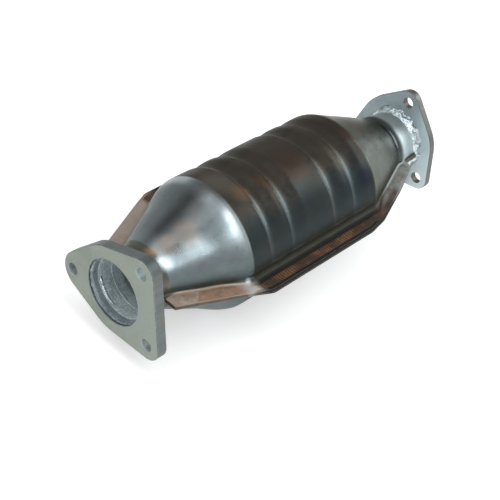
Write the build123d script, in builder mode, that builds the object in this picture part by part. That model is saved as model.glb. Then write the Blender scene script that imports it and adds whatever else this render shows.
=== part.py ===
"""Exhaust catalytic converter: two stamped half shells, end flanges, welds and the catalyst inside.

Millimetres. X runs along the gas path from the outer face of the inlet flange (x = 0)
to the outlet, Y goes across the seam flanges, Z is up and square to the seam plane.
"""
import os
from math import cos, pi, radians, sin

from build123d import *

os.makedirs("parts", exist_ok=True)

# Sheet metal and seam
sheet = 1.6
seam_gap = 0.4
slip = 0.2

# Inlet flange
inlet_thick = 9.8
inlet_bore_r = 28.5
bolt_r = 5.5
inlet_bolt_circle_r = 48.0
inlet_bolt_angles = (-11.0, 126.2, 211.8)
inlet_hub_r = inlet_bore_r + 11.8
inlet_wide_lobe_r = bolt_r + 7.7
inlet_blunt_lobe_r = bolt_r + 12.5
inlet_blunt_lobe_at = inlet_bolt_circle_r - 8.0
edge_chamfer = 0.6
hole_chamfer = 0.5

# Outlet flange
outlet_thick = 7.0
outlet_end_r = 28.1
outlet_bore_r = outlet_end_r + slip
outlet_bolt_circle_r = 43.0
outlet_first_bolt = 97.5
outlet_hub_r = outlet_bore_r + 13.9
outlet_lobe_r = bolt_r + 6.0
edge_round = 0.8

# Shell radii
neck_r = inlet_bore_r - slip
neck_swell = 2.7
body_r = 58.7

# Shell stations along X, each reached from the one before
pipe_recess = 4.0
inlet_neck_length = 17.0
inlet_flare_length = 13.0
inlet_cone_length = 62.5
body_length = 153.0
outlet_cone_length = 68.5
waist_length = 6.5
outlet_taper_length = 17.0
outlet_neck_length = 12.5
inlet_neck_end = pipe_recess + inlet_neck_length
inlet_cone_start = inlet_neck_end + inlet_flare_length
body_start = inlet_cone_start + inlet_cone_length
body_end = body_start + body_length
waist_start = body_end + outlet_cone_length
waist_end = waist_start + waist_length
outlet_neck_start = waist_end + outlet_taper_length
length = outlet_neck_start + outlet_neck_length + pipe_recess
outlet_face = length - outlet_thick

# Shell outline, station and outer radius
shell_corners = (
    (pipe_recess, neck_r),
    (inlet_neck_end, neck_r),
    (inlet_cone_start, neck_r + neck_swell),
    (body_start, body_r),
    (body_end, body_r),
    (waist_start, outlet_end_r + neck_swell),
    (waist_end, outlet_end_r + neck_swell),
    (outlet_neck_start, outlet_end_r),
    (length - pipe_recess, outlet_end_r),
)

# Catalyst and its mounting
front_room = 7.5
rear_room = 11.5
brick_gap = 18.0
mat_thick = 4.1
brick_r = body_r - sheet - mat_thick
brick_length = (body_length - front_room - rear_room - brick_gap) / 2
front_brick_start = body_start + front_room
rear_brick_start = front_brick_start + brick_length + brick_gap
rear_brick_end = rear_brick_start + brick_length
brick_chamfer = 0.8
seal_length = 4.0
spacer_lip = 3.0

# Inner cones, which turn a little before and after the shell does, and their packing
liner_sheet = 1.0
liner_end_gap = 4.0
liner_lead = 4.0
liner_flare_gap = 2.5
liner_brick_gap = 0.5
packing_gap = 1.0
packing_set_back = 6.0

# Recessed beads: two round each brick, set out from its middle, and a crease at the waist
bead_offsets = ((-13.2, 11.2), (-12.7, 13.1))
bead_section_r = 7.0
bead_depth = 1.3
bead_shift = 1.6
bead_clear = 5.5
crease_x = waist_start + 2.0
crease_section_r = 2.6

# Seam flanges in plan, one side; the lower sheet reaches a little further along the body
flange_front = inlet_cone_start - 8.0
flange_back = waist_end + 3.0
cone_strip = 14.2
body_strip = 18.5
rear_strip = 10.3
end_strip = 5.7
front_corner = 8.0
front_widening = 13.5
rear_narrowing = 23.5
rear_corner = 2.5
rear_knee = 48.0
shoulder_drop = 4.0
upper_inset = 1.6
corner_r = 4.5
fold_r = 3.5
seam_width = body_r + body_strip

# Welds
fillet_leg = 4.6
bead_crown = 0.62
root_leg = 1.5
seam_weld_width = 5.0
seam_weld_inset = 5.5
seam_weld_end = 6.0
neck_bead_r = 2.3
outlet_ripple_r = 3.1
outlet_ripple_lift = 1.8
outlet_ripple_round = 1.2
outlet_ripple_pitch = 5.5
outlet_ripples = round(2 * pi * (outlet_end_r + outlet_ripple_lift) / outlet_ripple_pitch)


def polar(radius, angle):
    return (radius * cos(radians(angle)), radius * sin(radians(angle)))


def save(part, name):
    part.label = name
    export_step(part, f"parts/{name}.step")


def turned(points):
    """Solid of revolution about X from an open outline of (x, radius) points."""
    first = points[0]
    last = points[-1]
    with BuildPart() as solid:
        with BuildSketch(Plane.XZ):
            with BuildLine():
                Polyline(*points)
                Polyline(last, (last[0], 0), (first[0], 0), first)
            make_face()
        revolve(axis=Axis.X)
    return solid.part


def shell_solid(inset, ends=0.0):
    """The shell's outline as a solid, with every radius reduced by the inset."""
    points = [(x, r - inset) for x, r in shell_corners]
    points[0] = (points[0][0] - ends, points[0][1])
    points[-1] = (points[-1][0] + ends, points[-1][1])
    return turned(points)


def shell_radius(station):
    """Outer radius of the shell at a station, read along its outline."""
    for (x0, r0), (x1, r1) in zip(shell_corners, shell_corners[1:]):
        if x0 <= station <= x1:
            return r0 + (r1 - r0) * (station - x0) / (x1 - x0)


def band(start, end, outer, inner=0.0):
    """Plain ring about the X axis, or a disc when it has no inner radius."""
    with BuildPart() as ring:
        with BuildSketch(Plane.YZ.offset(start)):
            Circle(outer)
            if inner > 0:
                Circle(inner, mode=Mode.SUBTRACT)
        extrude(amount=end - start)
    return ring.part


def ring_cutter(station, reach, section_r):
    """Round ring about the X axis whose inside reaches down to the given radius."""
    with BuildPart() as ring:
        with BuildSketch(Plane.XZ):
            with Locations((station, reach + section_r)):
                Circle(section_r)
        revolve(axis=Axis.X)
    return ring.part


# Each bead has its station, the radius of the shell there and the radius of its section
beads = [(crease_x, shell_radius(crease_x), crease_section_r)]
for brick_start, offsets in zip((front_brick_start, rear_brick_start), bead_offsets):
    for from_middle in offsets:
        station = brick_start + brick_length / 2 + from_middle
        beads.append((station, body_r, bead_section_r))


def bead_rings(growth, side):
    """Cutters of one half's beads, set off centre so that each bead fades out near the seam."""
    keep = Keep.TOP if side > 0 else Keep.BOTTOM
    with BuildPart() as rings:
        for station, shell_r, section_r in beads:
            reach = shell_r - bead_depth + bead_shift - growth
            ring = ring_cutter(station, reach, section_r + growth)
            add(Pos(0, 0, -bead_shift * side) * ring)
        split(bisect_by=Plane.XY.offset(side * bead_clear), keep=keep)
    return rings.part


# Hollow of the shells: everything inside the sheet, with the beads standing into it
hollow = shell_solid(sheet, ends=slip + sheet)
hollow_upper = hollow - bead_rings(sheet, 1)
hollow_lower = hollow - bead_rings(sheet, -1)


def seam_outline(width):
    """Plan of both seam flanges with the converter's body between them."""
    cone_end = body_start - front_corner
    shoulder = body_end - rear_corner
    knee = shoulder + rear_knee
    side = (
        (flange_front, shell_radius(flange_front) + cone_strip),
        (cone_end, shell_radius(cone_end) + cone_strip),
        (cone_end + front_widening, width),
        (body_end - rear_narrowing, width),
        (shoulder, width - shoulder_drop),
        (knee, shell_radius(knee) + cone_strip),
        (waist_end, shell_radius(waist_end) + rear_strip),
        (flange_back, shell_radius(flange_back) + end_strip),
    )
    other = [(x, -y) for x, y in reversed(side)]
    with BuildSketch() as plan:
        with BuildLine():
            Polyline(*side, *other, close=True)
        make_face()
        corners = plan.vertices().filter_by(lambda v: flange_front < v.X < waist_start)
        fillet(corners, corner_r)
    return plan.sketch


def half_shell(side, width):
    """One stamped half: necks, cones, beaded body and its share of the seam flanges."""
    plane = Plane.XY.offset(side * seam_gap / 2)
    keep = Keep.TOP if side > 0 else Keep.BOTTOM
    face_z = side * (seam_gap / 2 + sheet)
    run_out = body_r + fold_r
    neck_in = pipe_recess + 1.0
    neck_ends = ((neck_in, flange_front), (flange_back, length - neck_in))
    outline = shell_solid(0)

    # The necks, clear of the seam flanges
    with BuildPart() as necks:
        add(outline)
        split(bisect_by=plane, keep=keep)
        with BuildSketch(Plane.YZ.offset(flange_front)):
            Rectangle(3 * run_out, 3 * run_out)
        extrude(amount=flange_back - flange_front, mode=Mode.SUBTRACT)

    with BuildPart() as shell:
        add(outline)
        split(bisect_by=plane, keep=keep)
        with BuildSketch(plane):
            add(seam_outline(width))
            for start, end in neck_ends:
                with Locations(((start + end) / 2, 0)):
                    Rectangle(end - start, 2 * run_out)
        extrude(amount=sheet * side)
        level = shell.edges().filter_by_position(Axis.Z, face_z - 0.01, face_z + 0.01)
        curved = level.filter_by(GeomType.HYPERBOLA)
        straight = level.filter_by(Axis.X).filter_by_position(Axis.Y, -body_r, body_r)
        fillet(curved + straight, fold_r)
        split(bisect_by=Plane.YZ.offset(flange_front), keep=Keep.TOP)
        split(bisect_by=Plane.YZ.offset(flange_back), keep=Keep.BOTTOM)
        add(necks.part)
        add(bead_rings(0, side), mode=Mode.SUBTRACT)
        add(hollow_upper if side > 0 else hollow_lower, mode=Mode.SUBTRACT)
    return shell.part


upper_shell = half_shell(1, seam_width - upper_inset)
lower_shell = half_shell(-1, seam_width)
save(upper_shell, "upper_shell")
save(lower_shell, "lower_shell")


# Inlet flange: thick plate with two wide lobes and one blunt one
with BuildPart() as inlet_flange:
    with BuildSketch(Plane.YZ):
        Circle(inlet_hub_r)
        with Locations(*[polar(inlet_bolt_circle_r, a) for a in inlet_bolt_angles[1:]]):
            Circle(inlet_wide_lobe_r)
        with Locations(polar(inlet_blunt_lobe_at, inlet_bolt_angles[0])):
            Circle(inlet_blunt_lobe_r)
        make_hull()
    extrude(amount=inlet_thick)
    rims = inlet_flange.faces().filter_by(Axis.X).edges()
    chamfer(rims, edge_chamfer)
    with BuildSketch(Plane.YZ):
        Circle(inlet_bore_r)
        with Locations(*[polar(inlet_bolt_circle_r, a) for a in inlet_bolt_angles]):
            Circle(bolt_r)
    extrude(amount=inlet_thick, mode=Mode.SUBTRACT)
    front_rims = inlet_flange.faces().sort_by(Axis.X)[0].edges().filter_by(GeomType.CIRCLE)
    chamfer(front_rims.filter_by(lambda e: e.is_closed), hole_chamfer)
save(inlet_flange.part, "inlet_flange")


# Outlet flange: thinner plate with three even lobes
with BuildPart() as outlet_flange:
    with BuildSketch(Plane.YZ.offset(outlet_face)):
        Circle(outlet_hub_r)
        with PolarLocations(outlet_bolt_circle_r, 3, start_angle=outlet_first_bolt):
            Circle(outlet_lobe_r)
        make_hull()
    extrude(amount=outlet_thick)
    rims = outlet_flange.faces().filter_by(Axis.X).edges()
    fillet(rims, edge_round)
    with BuildSketch(Plane.YZ.offset(outlet_face)):
        Circle(outlet_bore_r)
        with PolarLocations(outlet_bolt_circle_r, 3, start_angle=outlet_first_bolt):
            Circle(bolt_r)
    extrude(amount=outlet_thick, mode=Mode.SUBTRACT)
save(outlet_flange.part, "outlet_flange")


def fillet_weld(toe_x, direction, radius, leg):
    """Round fillet bead in the corner between a neck and a flange face."""
    with BuildPart() as weld:
        with BuildSketch(Plane.XZ):
            with BuildLine():
                corner = (toe_x, radius)
                along = (toe_x + direction * leg, radius)
                up = (toe_x, radius + leg)
                bulge = (toe_x + direction * leg * bead_crown, radius + leg * bead_crown)
                Line(corner, along)
                ThreePointArc(along, bulge, up)
                Line(up, corner)
            make_face()
        revolve(axis=Axis.X)
    return weld.part


# Root beads inside the two bores, on the recessed ends of the necks
save(fillet_weld(pipe_recess, -1, neck_r - root_leg, root_leg), "inlet_root_weld")
save(fillet_weld(length - pipe_recess, 1, outlet_end_r - root_leg, root_leg), "outlet_root_weld")

# Fillet welds behind the flanges; the one at the outlet is coarse and rippled
save(fillet_weld(inlet_thick, 1, neck_r, fillet_leg), "inlet_weld")
with BuildPart() as ripples:
    with BuildSketch(Plane.YZ.offset(outlet_face)):
        with PolarLocations(outlet_end_r + outlet_ripple_lift, outlet_ripples):
            Circle(outlet_ripple_r)
    extrude(amount=-outlet_ripple_r)
    crests = ripples.faces().sort_by(Axis.X)[0].edges()
    fillet(crests, outlet_ripple_round)
with BuildPart() as outlet_weld:
    add(fillet_weld(outlet_face, -1, outlet_end_r, fillet_leg))
    add(ripples.part)
    add(band(outlet_face - 2 * fillet_leg, outlet_face, outlet_end_r), mode=Mode.SUBTRACT)
save(outlet_weld.part, "outlet_weld")


def seam_track(inset):
    """Plan of the seam flanges drawn in by the inset."""
    with BuildSketch() as track:
        add(seam_outline(seam_width - upper_inset))
        offset(amount=-inset)
    return track.sketch


# Roll seam welds between the two sheets, one on each side
weld_plan = seam_track(seam_weld_inset) - seam_track(seam_weld_inset + seam_weld_width)
weld_middle = (flange_front + flange_back) / 2
weld_length = flange_back - flange_front - 2 * seam_weld_end
for name, side in (("seam_weld_left", 1), ("seam_weld_right", -1)):
    with BuildPart() as seam_weld:
        with BuildSketch(Plane.XY.offset(-seam_gap / 2)):
            with Locations((weld_middle, side * seam_width)):
                Rectangle(weld_length, 2 * seam_width)
            add(weld_plan, mode=Mode.INTERSECT)
        extrude(amount=seam_gap)
        add(shell_solid(0), mode=Mode.SUBTRACT)
    save(seam_weld.part, name)


# Beads that close the split of each neck, between the flange weld and the seam flanges
neck_beads = (
    ("inlet_neck_bead", inlet_thick + fillet_leg, flange_front, neck_r),
    ("outlet_neck_bead", flange_back, outlet_face - fillet_leg, outlet_end_r + slip),
)
for name, start, end, edge in neck_beads:
    for tag, side in (("left", 1), ("right", -1)):
        with BuildPart() as bead:
            with BuildSketch(Plane.YZ.offset(start)):
                with Locations((side * (edge + neck_swell / 2), 0)):
                    Circle(neck_bead_r)
            extrude(amount=end - start)
            add(shell_solid(0), mode=Mode.SUBTRACT)
        save(bead.part, f"{name}_{tag}")


# Catalyst bricks with their swelling mats and knitted wire edge seals
for tag, start in (("front", front_brick_start), ("rear", rear_brick_start)):
    end = start + brick_length
    with BuildPart() as brick:
        add(band(start, end, brick_r))
        chamfer(brick.edges().filter_by(GeomType.CIRCLE), brick_chamfer)
    save(brick.part, f"{tag}_brick")
    inside = (start + seal_length, end - seal_length)
    with BuildPart() as mat:
        add(band(*inside, body_r - sheet, brick_r))
        add(bead_rings(sheet, 1), mode=Mode.SUBTRACT)
        add(bead_rings(sheet, -1), mode=Mode.SUBTRACT)
    save(mat.part, f"{tag}_mat")
    save(band(start, inside[0], body_r - sheet, brick_r), f"{tag}_brick_inlet_seal")
    save(band(inside[1], end, body_r - sheet, brick_r), f"{tag}_brick_outlet_seal")


# Spacer ring between the bricks, a channel with its lips turned in
spacer_start = front_brick_start + brick_length
with BuildPart() as spacer_ring:
    add(band(spacer_start, rear_brick_start, body_r - sheet, brick_r - spacer_lip))
    web_start = spacer_start + liner_sheet
    web_end = rear_brick_start - liner_sheet
    add(band(web_start, web_end, body_r - sheet - liner_sheet), mode=Mode.SUBTRACT)
save(spacer_ring.part, "spacer_ring")


def liner_outline(end_name, inset):
    """Outline of an inner cone, slipped into the neck and flared to the brick's face."""
    flare = brick_r - liner_flare_gap - inset
    if end_name == "inlet":
        tube = neck_r - sheet - inset
        return (
            (pipe_recess + liner_end_gap, tube),
            (inlet_cone_start - liner_lead, tube),
            (body_start - liner_lead, flare),
            (front_brick_start - liner_brick_gap, flare),
        )
    tube = outlet_end_r - sheet - inset
    return (
        (rear_brick_end + liner_brick_gap, flare),
        (body_end + liner_lead, flare),
        (waist_start + liner_lead, tube),
        (length - pipe_recess - liner_end_gap, tube),
    )


# Inner cones that lead the gas to the bricks, with insulation behind them
packing_front = inlet_cone_start - liner_lead + packing_set_back
packings = (
    ("inlet", packing_front, front_brick_start - packing_gap),
    ("outlet", rear_brick_end + packing_gap, waist_start - packing_set_back),
)
for end_name, start, end in packings:
    with BuildPart() as liner:
        add(turned(liner_outline(end_name, 0.0)))
        add(turned(liner_outline(end_name, liner_sheet)), mode=Mode.SUBTRACT)
    save(liner.part, f"{end_name}_inner_cone")
    with BuildPart() as insulation:
        add(band(start, end, body_r))
        add(hollow, mode=Mode.INTERSECT)
        add(turned(liner_outline(end_name, 0.0)), mode=Mode.SUBTRACT)
    save(insulation.part, f"{end_name}_insulation")
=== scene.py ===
# Exhaust catalytic converter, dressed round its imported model: metres, in the model's own frame
from math import asin, atan2, cos, hypot, pi, radians, sin, sqrt

import bpy
import numpy as np
from mathutils import Matrix, Vector, noise


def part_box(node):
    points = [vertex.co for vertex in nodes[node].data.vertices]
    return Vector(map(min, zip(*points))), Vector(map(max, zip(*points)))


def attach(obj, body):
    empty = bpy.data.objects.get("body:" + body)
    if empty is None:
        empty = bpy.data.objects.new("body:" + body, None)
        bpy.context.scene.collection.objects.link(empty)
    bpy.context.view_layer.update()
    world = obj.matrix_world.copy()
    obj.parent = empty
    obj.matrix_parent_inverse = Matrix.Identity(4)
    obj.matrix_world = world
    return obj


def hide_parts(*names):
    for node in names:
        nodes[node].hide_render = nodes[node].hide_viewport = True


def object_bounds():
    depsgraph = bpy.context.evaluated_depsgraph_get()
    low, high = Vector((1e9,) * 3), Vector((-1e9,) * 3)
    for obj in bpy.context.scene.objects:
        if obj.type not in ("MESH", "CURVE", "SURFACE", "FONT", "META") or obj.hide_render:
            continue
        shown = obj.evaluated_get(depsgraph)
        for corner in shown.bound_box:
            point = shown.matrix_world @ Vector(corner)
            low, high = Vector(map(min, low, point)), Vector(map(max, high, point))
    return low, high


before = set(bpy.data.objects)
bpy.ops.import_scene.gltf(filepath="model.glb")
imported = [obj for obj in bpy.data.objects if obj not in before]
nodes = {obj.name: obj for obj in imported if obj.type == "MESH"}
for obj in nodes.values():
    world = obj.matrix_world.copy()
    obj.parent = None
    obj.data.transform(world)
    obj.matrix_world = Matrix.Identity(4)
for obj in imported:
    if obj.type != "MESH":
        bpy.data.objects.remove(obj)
cad_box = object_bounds()


# Camera: over the inlet end and the near side, looking down at the photograph's angle through
# a long lens about a metre away.
camera = bpy.data.objects.new("camera", bpy.data.cameras.new("camera"))
bpy.context.scene.collection.objects.link(camera)
camera.data.sensor_width = 36.0
camera.data.lens = 84.94
camera_place = Vector((-0.46447, -0.48212, 0.61907))
camera_right = Vector((0.68836, -0.71341, 0.13118)).normalized()
camera_up = Vector((0.39605, 0.52116, 0.756)).normalized()
camera_back = camera_right.cross(camera_up)
turn = Matrix((camera_right, camera_up, camera_back)).transposed()
camera.matrix_world = Matrix.Translation(camera_place) @ turn.to_4x4()
bpy.context.scene.camera = camera
bpy.context.scene.view_settings.view_transform = "Standard"


# Floor and light: a white studio sweep, a tall softbox over the near side, a broad one beyond
# the outlet end and one overhead. The floor and the world show white in the picture and in
# the metal.
def feed(tree, socket, value):
    """Gives a socket a plain value, or another node's output; a colour is three numbers."""
    if isinstance(value, bpy.types.NodeSocket):
        tree.links.new(value, socket)
    elif socket.type == "RGBA":
        socket.default_value = (*value, 1.0)
    else:
        socket.default_value = value


def put(tree, kind, sockets=(), **settings):
    """Adds a node, with its settings by name and its inputs by name or number."""
    node = tree.nodes.new(kind)
    for name, value in settings.items():
        setattr(node, name, value)
    for name, value in dict(sockets).items():
        feed(tree, node.inputs[name], value)
    return node


def calc(tree, operation, *values):
    """Result of one sum on numbers or node outputs."""
    node = put(tree, "ShaderNodeMath", enumerate(values), operation=operation)
    return node.outputs[0]


def ease(tree, value, low, high, first=0.0, last=1.0):
    """Smooth step from first to last while the value goes from low to high."""
    sockets = {"Value": value, "From Min": low, "From Max": high, "To Min": first, "To Max": last}
    return put(tree, "ShaderNodeMapRange", sockets, interpolation_type="SMOOTHSTEP").outputs[0]


def seen_directly(tree):
    """One where a ray comes from the camera, a reflection or a clear pane, else nought."""
    path = put(tree, "ShaderNodeLightPath")
    seen = calc(tree, "MAXIMUM", path.outputs["Is Camera Ray"], path.outputs["Is Glossy Ray"])
    return calc(tree, "MAXIMUM", seen, path.outputs["Is Transmission Ray"])


floor_gap = 0.0003
floor_z = cad_box[0].z - floor_gap
floor_reach = 8.0
floor_shade = 0.80
floor_glow = 0.45
square = ((-1, -1), (1, -1), (1, 1), (-1, 1))
corners = [(x * floor_reach, y * floor_reach, floor_z) for x, y in square]
floor_mesh = bpy.data.meshes.new("floor")
floor_mesh.from_pydata(corners, [], [(0, 1, 2, 3)])
floor = bpy.data.objects.new("floor", floor_mesh)
bpy.context.scene.collection.objects.link(floor)
white_floor = bpy.data.materials.new("white_floor")
white_floor.use_nodes = True
tree = white_floor.node_tree
tree.nodes.clear()
paint = put(tree, "ShaderNodeBsdfDiffuse", {"Color": (floor_shade, floor_shade, floor_shade)})
shine = calc(tree, "MULTIPLY", seen_directly(tree), floor_glow)
glow = put(tree, "ShaderNodeEmission", {"Strength": shine})
both = put(tree, "ShaderNodeAddShader", {0: paint.outputs[0], 1: glow.outputs[0]})
put(tree, "ShaderNodeOutputMaterial", {"Surface": both.outputs[0]})
floor_mesh.materials.append(white_floor)

world_level = 0.72
overhead_level = 0.55
world = bpy.data.worlds.new("studio")
bpy.context.scene.world = world
world.use_nodes = True
tree = world.node_tree
tree.nodes.clear()
direction = put(tree, "ShaderNodeTexCoord").outputs["Generated"]
slope = put(tree, "ShaderNodeSeparateXYZ", {0: direction}).outputs["Z"]
sweep = ease(tree, slope, 0.10, 0.75, 1.0, overhead_level)
room = put(tree, "ShaderNodeBackground", {"Strength": world_level})
shown = put(tree, "ShaderNodeBackground", {"Strength": sweep})
pick = put(tree, "ShaderNodeMixShader", {0: seen_directly(tree), 1: room.outputs[0], 2: shown.outputs[0]})
put(tree, "ShaderNodeOutputWorld", {"Surface": pick.outputs[0]})

# Softboxes: azimuth and elevation in degrees, distance, width, height, watts and tone
aim = Vector((0.16, 0.0, 0.0))
softboxes = (
    ("key", -108.0, 52.0, 1.6, 0.30, 1.30, 7.4, (0.95, 0.99, 1.0)),
    ("far_end", -18.0, 24.0, 1.6, 0.80, 0.90, 12.0, (0.95, 0.99, 1.0)),
    ("overhead", 150.0, 68.0, 1.7, 1.10, 1.10, 6.0, (0.98, 0.99, 1.0)),
)
for name, azimuth, elevation, away, width, height, watts, tone in softboxes:
    lamp = bpy.data.lights.new(name, "AREA")
    lamp.shape = "RECTANGLE"
    lamp.size = width
    lamp.size_y = height
    lamp.energy = watts
    lamp.color = tone
    holder = bpy.data.objects.new(name, lamp)
    bpy.context.scene.collection.objects.link(holder)
    level = cos(radians(elevation))
    out = Vector((level * cos(radians(azimuth)), level * sin(radians(azimuth)), sin(radians(elevation))))
    facing = out.to_track_quat("Z", "Y").to_matrix().to_4x4()
    holder.matrix_world = Matrix.Translation(aim + away * out) @ facing


# Bolt flanges: steel plates, cut to shape, drilled and welded round the necks. The inlet one is
# thick and dull grey-green from its plating; the outlet one is thinner, with a shinier bluish
# inner face. Each face is painted lighter towards the near side, a painted reflection that is
# strongest on the outlet; the bolt-hole walls take painted light on the inlet and painted shade
# on the outlet.
def new_group(name, inputs, outputs):
    """Starts a node group with named inputs and outputs; an input has a kind and a default."""
    group = bpy.data.node_groups.new(name, "ShaderNodeTree")
    for label, (kind, default) in inputs.items():
        socket = group.interface.new_socket(name=label, in_out="INPUT", socket_type=kind)
        if default is not None:
            socket.default_value = default
    for label, kind in outputs.items():
        group.interface.new_socket(name=label, in_out="OUTPUT", socket_type=kind)
    return group, put(group, "NodeGroupInput").outputs, put(group, "NodeGroupOutput").inputs


def use(tree, group, sockets=()):
    """Places a node group in a material, with its inputs by name."""
    node = tree.nodes.new("ShaderNodeGroup")
    node.node_tree = group
    for name, value in dict(sockets).items():
        feed(tree, node.inputs[name], value)
    return node.outputs


def blend(tree, factor, first, second):
    """Colour between two colours."""
    node = put(tree, "ShaderNodeMix", {0: factor, 6: first, 7: second}, data_type="RGBA")
    return node.outputs[2]


def overlap(tree, first, *others):
    """Product of masks or shares."""
    for other in others:
        first = calc(tree, "MULTIPLY", first, other)
    return first


def hypotenuse(tree, first, second):
    """Distance from two sides that meet squarely."""
    squares = calc(tree, "ADD", overlap(tree, first, first), overlap(tree, second, second))
    return calc(tree, "SQRT", squares)


FLOAT = "NodeSocketFloat"
VECTOR = "NodeSocketVector"

# Cloudy patches, as plating and scale leave them
blotches, ins, outs = new_group(
    "blotches",
    {"Vector": (VECTOR, None), "Scale": (FLOAT, 40.0), "Low": (FLOAT, 0.4), "High": (FLOAT, 0.6)},
    {"Mask": FLOAT},
)
cloud_inputs = {"Vector": ins["Vector"], "Scale": ins["Scale"], "Detail": 6.0, "Roughness": 0.62}
cloud = put(blotches, "ShaderNodeTexNoise", cloud_inputs)
feed(blotches, outs["Mask"], ease(blotches, cloud.outputs[0], ins["Low"], ins["High"]))

# Fine streaks that run along X, the way the sheet was rolled
rolled_grain, ins, outs = new_group(
    "rolled_grain",
    {"Vector": (VECTOR, None), "Along": (FLOAT, 60.0), "Across": (FLOAT, 1400.0)},
    {"Value": FLOAT},
)
stretch = put(rolled_grain, "ShaderNodeCombineXYZ", {0: ins["Along"], 1: ins["Across"], 2: ins["Across"]})
pair = {0: ins["Vector"], 1: stretch.outputs[0]}
drawn = put(rolled_grain, "ShaderNodeVectorMath", pair, operation="MULTIPLY")
streak_inputs = {"Vector": drawn.outputs[0], "Scale": 1.0, "Detail": 4.0, "Roughness": 0.6}
streaks = put(rolled_grain, "ShaderNodeTexNoise", streak_inputs)
feed(rolled_grain, outs["Value"], streaks.outputs[0])

# Rubbed edges, found by how far the rounded normal leans from the flat one
worn_edge, ins, outs = new_group(
    "worn_edge",
    {"Width": (FLOAT, 0.0006), "Vector": (VECTOR, None)},
    {"Mask": FLOAT},
)
rounded = put(worn_edge, "ShaderNodeBevel", {"Radius": ins["Width"]}, samples=6)
flat = put(worn_edge, "ShaderNodeNewGeometry").outputs["Normal"]
lean = put(worn_edge, "ShaderNodeVectorMath", {0: rounded.outputs[0], 1: flat}, operation="DOT_PRODUCT")
rub = put(worn_edge, "ShaderNodeTexNoise", {"Vector": ins["Vector"], "Scale": 220.0, "Detail": 3.0})
edge = ease(worn_edge, lean.outputs["Value"], 0.99, 0.86)
feed(worn_edge, outs["Mask"], overlap(worn_edge, edge, ease(worn_edge, rub.outputs[0], 0.3, 0.6)))

# Scattered specks where weld spatter stuck
specks, ins, outs = new_group(
    "specks",
    {"Vector": (VECTOR, None), "Scale": (FLOAT, 300.0), "Size": (FLOAT, 0.2), "Rarity": (FLOAT, 0.7)},
    {"Mask": FLOAT},
)
cells = put(specks, "ShaderNodeTexVoronoi", {"Vector": ins["Vector"], "Scale": ins["Scale"]})
rare = put(specks, "ShaderNodeSeparateColor", {0: cells.outputs["Color"]}).outputs[0]
dot = ease(specks, cells.outputs["Distance"], ins["Size"], 0.0)
feed(specks, outs["Mask"], overlap(specks, dot, calc(specks, "GREATER_THAN", rare, ins["Rarity"])))


def patchy(tree, place, scale, low, high):
    """Mask of cloudy patches of one scale."""
    return use(tree, blotches, {"Vector": place, "Scale": scale, "Low": low, "High": high})["Mask"]


def grained(tree, place, along, across):
    """Value of the streaks of rolled or drawn metal."""
    return use(tree, rolled_grain, {"Vector": place, "Along": along, "Across": across})["Value"]


def speckled(tree, place, scale, size, rarity):
    """Mask of scattered specks."""
    sockets = {"Vector": place, "Scale": scale, "Size": size, "Rarity": rarity}
    return use(tree, specks, sockets)["Mask"]


def rubbed(tree, place, width, share):
    """Mask of rubbed edges, as strong as the given share."""
    mask = use(tree, worn_edge, {"Vector": place, "Width": width})["Mask"]
    return overlap(tree, mask, share)


def new_material(name):
    """A node material with a bare metal surface; gives its tree, its surface node and its coordinates."""
    material = bpy.data.materials.new(name)
    material.use_nodes = True
    tree = material.node_tree
    tree.nodes.clear()
    surface = put(tree, "ShaderNodeBsdfPrincipled", {"Metallic": 1.0})
    put(tree, "ShaderNodeOutputMaterial", {"Surface": surface.outputs[0]})
    place = put(tree, "ShaderNodeTexCoord").outputs["Object"]
    return material, tree, surface, place


def relief(tree, surface, height, depth):
    """Fine relief of a surface, as deep as the given depth in metres."""
    bump = put(tree, "ShaderNodeBump", {"Height": height, "Distance": depth, "Strength": 1.0})
    feed(tree, surface.inputs["Normal"], bump.outputs[0])


def clad(node, material):
    """Gives a part its material."""
    node.data.materials.clear()
    node.data.materials.append(material)


hole_reach = 0.00585


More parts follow.
